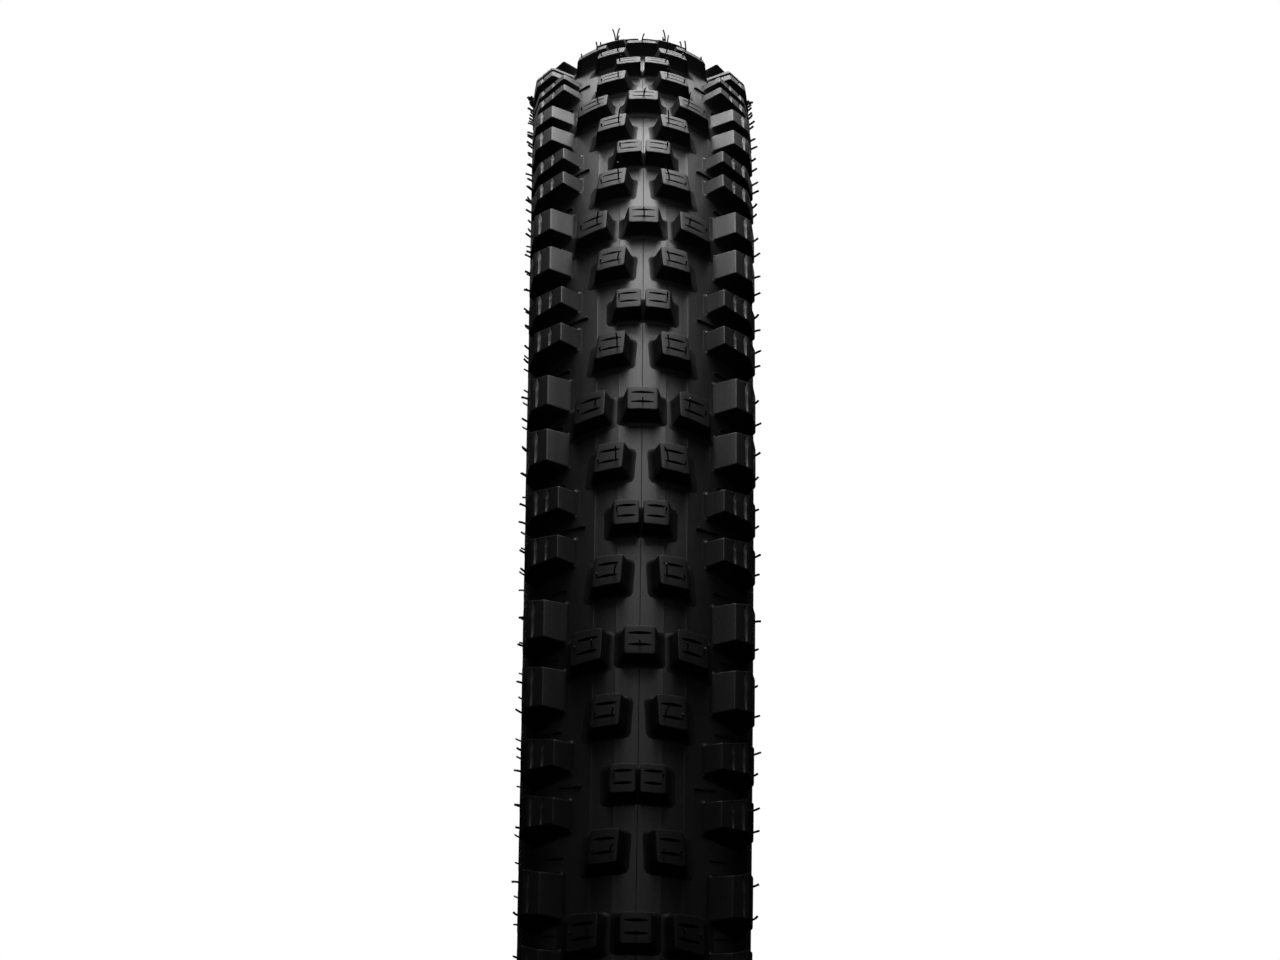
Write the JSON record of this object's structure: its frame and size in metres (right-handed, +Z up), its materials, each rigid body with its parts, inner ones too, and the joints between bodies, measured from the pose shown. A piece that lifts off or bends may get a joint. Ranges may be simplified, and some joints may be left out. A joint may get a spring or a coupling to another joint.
{
  "type": "bicycle tire",
  "caption": "Knobbly mountain bicycle tire for a 622 mm rim: casing plies, wire beads, belt, sidewalls and rows of cut knobs, upright on its axle axis.",
  "frame": {"origin": "wheel centre: on the axle axis, midway between the two beads", "axes": "+Y along the axle, to the tire's right side; +Z up; the rows of knobs follow one another from +Z towards +X"},
  "size_m": [0.736, 0.0582, 0.7356],
  "materials": {
    "tread_rubber": "matt black tread rubber with a slight sheen in the hollows",
    "knob_rubber": "matt black tread rubber",
    "shoulder_knob_rubber": "matt black tread rubber",
    "base_rubber": "plain black rubber",
    "sidewall_rubber": "thin black rubber over fabric",
    "chafer_rubber": "smooth black rubber with a faint weave",
    "filler_rubber": "hard black rubber",
    "liner_rubber": "thin shiny black rubber",
    "casing_fabric": "nylon cords in rubber",
    "belt_fabric": "tight woven fabric in rubber",
    "bead_wire": "brass-plated steel wire"
  },
  "bodies": {
    "root": {"casing_ply_inner": "casing_fabric", "casing_ply_outer": "casing_fabric", "inner_liner": "liner_rubber", "puncture_belt": "belt_fabric", "tread_base": "base_rubber", "tread_centre_strip": "tread_rubber", "tread_shoulder_strip_left": "tread_rubber", "tread_shoulder_strip_right": "tread_rubber", "sidewall_rubber_left": "sidewall_rubber", "sidewall_rubber_right": "sidewall_rubber", "chafer_left": "chafer_rubber", "chafer_right": "chafer_rubber", "bead_core_left": "bead_wire", "bead_core_right": "bead_wire", "bead_filler_left": "filler_rubber", "bead_filler_right": "filler_rubber", "centre_single_knobs": "knob_rubber", "centre_pair_knobs_left": "knob_rubber", "centre_pair_knobs_right": "knob_rubber", "middle_knobs_left": "knob_rubber", "middle_knobs_right": "knob_rubber", "outer_single_knobs_left": "knob_rubber", "outer_single_knobs_right": "knob_rubber", "shoulder_long_knobs_left": "shoulder_knob_rubber", "shoulder_long_knobs_right": "shoulder_knob_rubber", "shoulder_short_knobs_left": "shoulder_knob_rubber", "shoulder_short_knobs_right": "shoulder_knob_rubber"}
  },
  "joints": []
}
